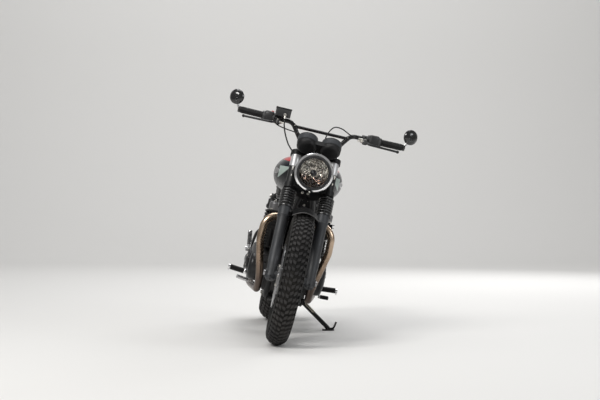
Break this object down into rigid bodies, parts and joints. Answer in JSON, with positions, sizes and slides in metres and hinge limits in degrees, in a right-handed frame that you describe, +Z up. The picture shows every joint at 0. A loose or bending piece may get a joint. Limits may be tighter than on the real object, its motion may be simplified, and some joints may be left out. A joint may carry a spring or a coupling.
{
  "type": "roadster motorcycle",
  "caption": "Unfaired retro roadster motorcycle with an upright twin engine, wire wheels and a wide braced bar, leaning on its side stand.",
  "frame": {"origin": "on the floor, under the middle of the machine's bounding box", "axes": "-Y is forwards, +X is the machine's left, +Z is up; the machine leans towards +X"},
  "size_m": [0.9692, 2.0958, 1.2511],
  "materials": {
    "black_frame": "satin black powder coat",
    "black_bar": "satin black",
    "black_shock": "gloss black coil and body",
    "engine_black": "semi-matt black casting",
    "engine_satin": "satin black cover",
    "dark_alloy": "dark anodised alloy",
    "radiator_black": "matt black",
    "tinted_steel": "heat-tinted bronze",
    "silencer_black": "matt black ceramic",
    "tank_paint": "gloss black with a red centre and pale band",
    "bright_alloy": "polished",
    "seat_cover": "black ribbed vinyl",
    "guard_black": "gloss black",
    "red_lens": "red lens",
    "chrome": "bright chrome",
    "steel": "ground steel",
    "chain_steel": "oiled steel",
    "slider_grey": "satin blue-grey",
    "rubber": "matt black rubber",
    "shell_black": "gloss black",
    "lamp_glass": "clear glass",
    "black_plastic": "fine-grained black",
    "mirror_black": "black shell",
    "tyre": "block tread rubber",
    "wheel_black": "black rim and spokes",
    "cable_black": "black sheath"
  },
  "bodies": {
    "root": {"frame": "black_frame", "swingarm": "black_frame", "shocks": "black_shock", "crankcase": "engine_black", "cylinder_block": "engine_black", "cylinder_head": "engine_black", "cam_cover": "engine_satin", "engine_covers": "engine_satin", "throttle_bodies": "dark_alloy", "radiator": "radiator_black", "exhaust_headers": "tinted_steel", "silencers": "silencer_black", "fuel_tank": "tank_paint", "filler_cap": "bright_alloy", "seat": "seat_cover", "side_panels": "tank_paint", "rear_mudguard": "guard_black", "tail_lamp": "red_lens", "footrests": "chrome", "foot_controls": "dark_alloy", "chain": "chain_steel", "front_sprocket": "chain_steel", "chain_guard": "guard_black", "rear_caliper": "dark_alloy", "rear_axle": "steel"},
    "steer": {"yokes": "black_frame", "fork_tubes": "chrome", "fork_sliders": "slider_grey", "fork_gaiters": "rubber", "front_mudguard": "guard_black", "front_axle": "steel", "front_caliper": "dark_alloy", "lamp_ears": "black_frame", "headlamp_shell": "shell_black", "headlamp_rim": "chrome", "headlamp_lens": "lamp_glass", "instruments": "black_plastic", "handlebar": "black_bar", "grips": "rubber", "hand_controls": "black_plastic", "mirrors": "mirror_black", "control_cables": "cable_black"},
    "front_wheel": {"front_tyre": "tyre", "front_wheel": "wheel_black", "front_disc": "steel"},
    "rear_wheel": {"rear_tyre": "tyre", "rear_wheel": "wheel_black", "rear_disc": "steel", "rear_sprocket": "chain_steel"},
    "side_stand": {"side_stand": "black_frame"}
  },
  "joints": [
    {"name": "steering", "type": "hinge", "parent": "root", "child": "steer", "pos_m": [-0.0677, -0.44277, 0.78427], "axis": [0.2061, 0.4305, 0.8787], "range_deg": [-35, 35]},
    {"name": "front_wheel_spin", "type": "hinge", "parent": "steer", "child": "front_wheel", "pos_m": [-0.17708, -0.723, 0.31795], "axis": [0.9736, 0, -0.2284], "continuous": true},
    {"name": "rear_wheel_spin", "type": "hinge", "parent": "root", "child": "rear_wheel", "pos_m": [-0.17784, 0.727, 0.31468], "axis": [0.9736, 0, -0.2284], "continuous": true},
    {"name": "stand_fold", "type": "hinge", "parent": "root", "child": "side_stand", "pos_m": [-0.08891, 0.082, 0.15082], "axis": [0.6833, -0.1, 0.7232], "range_deg": [0, 100]}
  ]
}
